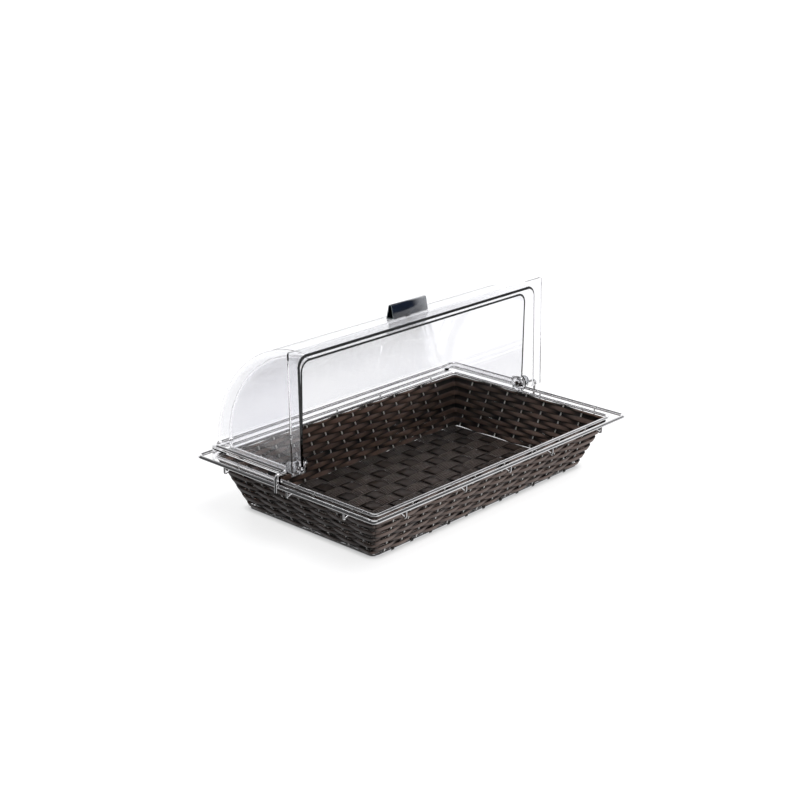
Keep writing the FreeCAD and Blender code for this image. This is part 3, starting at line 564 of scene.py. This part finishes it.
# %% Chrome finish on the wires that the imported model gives
chrome = Finish("chrome_wire", Metallic=1.0)
cloud = chrome.noise(chrome.place("Object", (60, 60, 60)), 3.0)
fine = chrome.noise(chrome.place("Object", (700, 700, 700)), 2.0)
chrome.paint(Base_Color=chrome.ramp(cloud, (0.3, (0.78, 0.77, 0.77)), (0.75, (0.93, 0.92, 0.92))),
             Roughness=0.05 + cloud * 0.08, Normal=chrome.bump(fine, 0.012, 0.6))
satin = Finish("satin_wire", Metallic=0.15)
rub = satin.noise(satin.place("Object", (260, 260, 90)), 3.0)
satin.paint(Base_Color=satin.ramp(rub, (0.3, (0.78, 0.76, 0.73)), (0.75, (0.97, 0.95, 0.92))),
            Roughness=0.22 + rub * 0.16)
for row in frame["record"]["subparts"]:
    if row["material_slot"] == "chrome_wire":
        wear(row["node"], satin if row["node"].startswith("stakes") else chrome)
print("chrome and satin wire")

# %% [markdown]
# ## Weld beads
# Each upright wire is spot-welded to the rim, and the melt leaves a small bright bead. A bead is a
# flattened ball: a half circle turned round an axis, stretched along the wire.

# %% Beads along the rim
BEAD = (1.9, 1.25, 1.1)             # half sizes along the rim, across it and up
BEAD_INSET, BEAD_RISE = 0.6, 0.4    # from the rim's middle line, and above its underside


def beads(name, centres, along, around=8, rings=5, pole=0.04):
    """Ellipsoids: centre + (a sin p cos t, b sin p sin t, c cos p), a along the wire."""
    p = np.linspace(pole, math.pi - pole, rings)
    t = ring_of(around)
    ball = np.stack([np.sin(p)[:, None] * np.cos(t), np.sin(p)[:, None] * np.sin(t),
                     np.repeat(np.cos(p)[:, None], around, 1)], -1) * BEAD
    centres, along = np.array(centres, float), np.array(along, float)
    side = np.stack([-along[:, 1], along[:, 0], np.zeros(len(along))], -1)
    grid = (centres[:, None, None] + ball[None, ..., :1] * along[:, None, None]
            + ball[None, ..., 1:2] * side[:, None, None] + ball[None, ..., 2:] * np.array((0, 0, 1.0)))
    piece(name, grid, "basket", chrome)


rim_spots, rim_ways = [], []
for side, wall in walls.items():
    reach = (rim_y if side in ("front", "back") else rim_x) - BEAD_INSET
    for u in wall.off1 + np.linspace(-wall.span1, wall.span1, wall.count):
        rim_spots.append((wall.along[0] * u + wall.out[0] * reach,
                          wall.along[1] * u + wall.out[1] * reach, rim_z - RIM_WIRE / 2 + BEAD_RISE))
        rim_ways.append((*wall.along, 0.0))
beads("rim_beads", rim_spots, rim_ways)

# %% [markdown]
# ## Clear hoods
# The two hoods are thin clear polycarbonate, formed in one piece. They are real shells with two
# surfaces, so light bends in and out of the wall, and edges and fillets gather it into dark and
# bright lines, as on the real thing. The colour is almost white with a trace of cool grey; a faint
# cloud in the roughness stands for wiping marks.

# %% Clear finish
clear = Finish("clear_plastic", Transmission_Weight=1.0, IOR=1.49)
wipe = clear.noise(clear.place("Object", (9, 9, 26)), 4.0)
clear.paint(Base_Color=clear.ramp(wipe, (0.35, (0.968, 0.968, 0.982)), (0.7, (0.982, 0.982, 0.992))),
            Roughness=0.004 + wipe ** 3.0 * 0.03)
for name in ("fixed_hood", "moving_hood"):
    wear(name, clear)
print("clear plastic on both hoods")

# %% [markdown]
# ## Pivots
# A round pin joins the hoods at each end. Inside sits a disc with a three-lobed grip, outside a small
# domed cap. Discs and caps are turned profiles; the grip's radius swells three times round.

# %% Caps and discs
cap_finish = Finish("cap_finish", Transmission_Weight=0.75, IOR=1.49)
frost = cap_finish.noise(cap_finish.place("Object", (300, 300, 300)), 3.0)
cap_finish.paint(Base_Color=cap_finish.ramp(frost, (0.3, (0.80, 0.81, 0.84)),
                                            (0.8, (0.92, 0.93, 0.95))),
                 Roughness=0.10 + frost * 0.15)
AROUND = 48     # points round each turned piece


def pair_of(name, finish, node, profile, start, lobes=0.0):
    """Near and far copies of a turned piece whose profile runs outwards along X from start.

    Where the profile lies inside start, its radius is multiplied by 1 + lobes cos(3 t + pi / 2).
    """
    swell = 1 + lobes * np.cos(3 * ring_of(AROUND) + math.pi / 2)
    scale = np.where(np.array([s < 0 for s, _ in profile])[:, None], swell, 1.0)[..., None]
    centre = np.array((HINGE_Y, HINGE_Z))
    both = []
    for sign in (-1, 1):
        grid = turned_profile((sign * start, *centre), (sign, 0, 0), profile, AROUND)
        grid[..., 1:] = centre + (grid[..., 1:] - centre) * scale
        both.append(grid)
    piece(name, np.array(both), "basket", finish, replaces=[node], wrap=(True, True), caps=False)


inner_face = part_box("pivot_discs")[1].x / MM
outer_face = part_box("pivot_caps")[1].x / MM
# profiles of (distance outwards from the face, radius)
CAP = [(-4.0, 3.1), (-4.0, 6.9), (-3.6, 7.5), (-1.4, 7.5), (-0.6, 7.1), (-0.15, 5.6), (0, 3.0),
       (0, 0.05), (-1.9, 0.05), (-1.95, 3.0)]
pair_of("cap_domes", cap_finish, "pivot_caps", CAP, outer_face)
DISC = [(0, 3.1), (0, 10.4), (-0.4, 11.0), (-1.3, 10.8), (-1.5, 9.0), (-1.6, 7.4), (-2.3, 6.9),
        (-2.45, 6.0), (-2.45, 3.1)]
pair_of("disc_grips", clear, "pivot_discs", DISC, inner_face, lobes=0.16)

# %% [markdown]
# ## Handle
# The grip is one folded sheet, narrow at the top and wide enough for its screw at the foot, open at
# both ends, polished and near black, with paler cut ends. Its outline is a closed line with rounded
# folds; the tube is that line, its copy one sheet thickness inside, and the two joined at the ends.

# %% Rounded outline
ROOF_RADIUS = 149.5
HANDLE_Y, HANDLE_BASE, HANDLE_FOLD = 20.5, 13.5, 5.5    # place behind the hinge, foot, top fold
HANDLE_HEIGHT, HANDLE_LENGTH, SHEET = 18.0, 70.0, 1.4
BEVEL = 0.3                                             # rounding of the sheet's cut ends


def rounded_outline(corners, radii, steps=7):
    """Each corner is replaced by points of a quadratic curve between its two tangent points."""
    corners = np.array(corners, float)
    before, after = np.roll(corners, 1, 0), np.roll(corners, -1, 0)
    back_way = (before - corners) / np.linalg.norm(before - corners, axis=1)[:, None]
    on_way = (after - corners) / np.linalg.norm(after - corners, axis=1)[:, None]
    radii = np.array(radii, float)[:, None]
    first, last = corners + back_way * radii, corners + on_way * radii
    s = np.linspace(0, 1, steps)[None, :, None]
    curve = (first[:, None] * (1 - s) ** 2 + corners[:, None] * 2 * s * (1 - s)
             + last[:, None] * s ** 2)
    return curve.reshape(-1, 2)


def roof(y):
    """Height of the hood's roof over the hinge line at distance y behind it."""
    return np.sqrt(ROOF_RADIUS ** 2 - y ** 2)


print("roof over the grip at %.1f mm" % (HINGE_Z + roof(HANDLE_Y)))

# %% Grip
ROOF_GAP = 0.06     # air between the grip's foot and the roof
low, high, top = HANDLE_Y - HANDLE_BASE / 2, HANDLE_Y + HANDLE_BASE / 2, ROOF_RADIUS + HANDLE_HEIGHT
fold, foot = HANDLE_FOLD / 2, roof(low) + SHEET
outer = rounded_outline([(low, roof(low)), (high, roof(high)), (HANDLE_Y + fold, top),
                         (HANDLE_Y - fold, top)], [0.5, 0.5, 2.0, 2.0])
outer[:, 1] = np.maximum(outer[:, 1], roof(outer[:, 0]) + ROOF_GAP)
inner = rounded_outline([(low + SHEET, foot), (high - SHEET, foot - 1),
                         (HANDLE_Y + fold - SHEET, top - SHEET),
                         (HANDLE_Y - fold + SHEET, top - SHEET)], [0.4, 0.4, 1.0, 1.0])
inner[:, 1] = np.maximum(inner[:, 1], roof(inner[:, 0]) + SHEET)
half = HANDLE_LENGTH / 2
near_outer, near_inner = outer * 0.8 + inner * 0.2, outer * 0.2 + inner * 0.8
lines = [(outer, BEVEL - half), (outer, half - BEVEL), (near_outer, half), (near_inner, half),
         (inner, half - BEVEL), (inner, BEVEL - half), (near_inner, -half), (near_outer, -half)]
grid = np.array([np.column_stack([np.full(len(line), x), line[:, 0] + HINGE_Y, line[:, 1] + HINGE_Z])
                 for line, x in lines])[None]
black = Finish("black_gloss", IOR=1.5, Coat_Weight=1.0, Coat_Roughness=0.03)
haze = black.noise(black.place("Object", (40, 40, 40)), 3.0)
cut = black.step(black.unsigned(black.part(black.place(), "X")), (half - BEVEL) * MM, (half - 0.1) * MM)
black.paint(Base_Color=black.ramp(haze * 0.3 + cut * 0.7, (0.1, (0.003, 0.006, 0.014)),
                                  (0.3, (0.008, 0.015, 0.032)), (0.7, (0.30, 0.36, 0.36))),
            Roughness=0.10 + haze * 0.12, Normal=black.bump(haze, 0.02, 0.3))
piece("grip", grid, "hood", black, replaces=["handle"], wrap=(True, True), caps=False)

# %% [markdown]
# ## Handle screw and nut
# One screw goes down through the foot of the grip and the roof. Its head is a low dome and its nut has
# six flats with their corners turned down.

# %% Screw and nut
BORE = 3.0      # radii below this stay round on a prism


def screw(name, node, profile, sides=0):
    """A profile (height, radius) turned round the screw's line; sides > 0 flattens it to a prism.

    A flat lies at radius cos(pi / sides) / cos(w), with w the angle from the flat's middle.
    """
    centre = np.array((0, HINGE_Y + HANDLE_Y))
    grid = turned_profile((*centre, 0), (0, 0, 1), profile, AROUND)
    if sides:
        wedge = math.pi / sides
        w = (ring_of(AROUND) + wedge) % (2 * wedge) - wedge
        wide = np.array([r > BORE for _, r in profile])[:, None]
        scale = np.where(wide, math.cos(wedge) / np.cos(w), 1.0)[..., None]
        grid[..., :2] = centre + (grid[..., :2] - centre) * scale
    piece(name, grid[None], "hood", chrome, replaces=[node], wrap=(sides > 0, True),
          caps=sides == 0)


HEAD = 2.4      # height of the screw's head
screw_low, screw_top = (corner.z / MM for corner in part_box("handle_screw"))
head = screw_top - HEAD
screw("screw_dome", "handle_screw",
      [(screw_low, 0.4), (screw_low, 1.6), (screw_low + 0.4, 2.0), (head, 2.0), (head, 3.5),
       (head + 0.3, 3.75), (head + 1.0, 3.6), (head + 1.8, 2.8), (head + 2.3, 1.5), (head + HEAD, 0.3)])
nut_low, nut_top = (corner.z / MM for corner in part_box("handle_nut"))
screw("hex_nut", "handle_nut",
      [(nut_low, 2.06), (nut_low, 3.3), (nut_low + 0.5, 3.95), (nut_top - 0.4, 3.95), (nut_top, 3.6),
       (nut_top, 2.06)], sides=6)

# %% [markdown]
# ## Floor, light and room
# A plain pale floor and soft studio light. Chrome and clear plastic show what stands round them, so the
# room is pale behind the basket and overhead, pale again below the horizon on the right, and dark
# elsewhere: the dark parts give the wires their core and the hoods their drawn edges. The floor glows
# evenly, as a lit studio table does, except under the basket, where the glow fades out as a painted
# shadow, and plain walls far off close the view.
# Two soft lamps, one high and one low in front, light the weave; mirrors don't show them.

# %% Floor
FLOOR_HALF, GLOW = 30, 0.80                 # metres, and how bright it is away from the basket
SHADE_INSET, SHADE_RISE = 12, 0.026         # where the painted shadow under the basket starts, millimetres inside the base ring, and its soft rim in metres


def plain(name, points, faces, finish):
    """A stage piece of a few flat faces."""
    mesh = bpy.data.meshes.new(name)
    mesh.from_pydata(points, [], faces)
    mesh.materials.append(finish.material)
    return add(name, mesh)


floor_finish = Finish("floor", Roughness=0.6, Emission_Strength=1.0)
spot = floor_finish.place()
drift = floor_finish.noise(spot, 2.0, 1.5)
away = [floor_finish.step(floor_finish.unsigned(floor_finish.part(spot, axis)),
                          (half - SHADE_INSET) * MM, (half - SHADE_INSET) * MM + SHADE_RISE)
        for axis, half in (("X", base_x), ("Y", base_y))]
# painted shadow: the floor's glow fades to nothing under the basket
glow_with_painted_shadow = GLOW - (1.0 - away[0]) * (1.0 - away[1]) * GLOW
floor_finish.paint(Base_Color=floor_finish.ramp(drift, (0.3, (0.20, 0.20, 0.205)),
                                                (0.7, (0.215, 0.215, 0.215))),
                   Emission_Color=floor_finish.node("CombineXYZ", {0: glow_with_painted_shadow, 1: glow_with_painted_shadow, 2: glow_with_painted_shadow}))
corners = [(-1, -1), (1, -1), (1, 1), (-1, 1)]
floor = plain("floor", [(x * FLOOR_HALF, y * FLOOR_HALF, 0) for x, y in corners], [(0, 1, 2, 3)],
              floor_finish)
floor.visible_diffuse = floor.visible_glossy = False
print("floor laid")

# %% Backdrop
WALL_OUT, WALL_FOOT, WALL_TOP = 9, -0.1, 6  # metres
wall_finish = Finish("backdrop", Roughness=0.9, Emission_Color=(1.0, 1.0, 1.0), Emission_Strength=1.1)
drift = wall_finish.noise(wall_finish.place("Object", (0.1, 0.1, 0.1)), 2.0)
wall_finish.paint(Base_Color=wall_finish.ramp(drift, (0.3, (0.04, 0.04, 0.04)),
                                              (0.7, (0.05, 0.05, 0.05))))
backdrop = plain("backdrop", [(x * WALL_OUT, y * WALL_OUT, z) for z in (WALL_FOOT, WALL_TOP)
                              for x, y in corners],
                 [(i, (i + 1) % 4, (i + 1) % 4 + 4, i + 4) for i in range(4)], wall_finish)
backdrop.visible_diffuse = backdrop.visible_glossy = backdrop.visible_shadow = False
print("backdrop hung")

# %% Room
OVERHEAD, BEHIND, BELOW, DARK = 0.8, 1.2, 0.7, 0.06     # how bright each part of the room is
world = bpy.data.worlds.new("room")
bpy.context.scene.world = world
room = Finish("room", room=world)
way = room.node("TexCoord", out="Generated")
x, y, z = (room.part(way, axis) for axis in "XYZ")
behind = room.step(x * 0.7 + y * 0.7, 0.1, 0.5) * room.step(z, -0.3, 0.0)
behind = behind * room.step(z * -1.0, -0.75, -0.5)
overhead = room.step(z, 0.80, 0.90)
below = room.step(z * -1.0, 0.10, 0.30) * room.step(x, -0.5, 0.1)
light = overhead * OVERHEAD + behind * BEHIND + below * BELOW + DARK
room.paint(Color=room.node("CombineXYZ", {0: light * 0.99, 1: light, 2: light * 1.02}), Strength=1.0)
print("room painted")

# %% Lamps
def lamp(name, way, energy, spread):
    """Light from one direction, hidden from mirrors; spread is how wide it looks, in degrees."""
    data = bpy.data.lights.new(name, "SUN")
    data.energy, data.angle = energy, math.radians(spread)
    made = add(name, data)
    made.rotation_euler = Vector(way).to_track_quat("Z", "Y").to_euler()
    made.visible_glossy = False
    return made


lamp("window", (0.3, -0.4, 1.2), 3.2, 40)
low_front = lamp("low_front", (0.40, -0.91, 0.05), 2.2, 12)
low_front.visible_transmission = False
bpy.context.scene.view_settings.view_transform = "Standard"
print("lamps set")
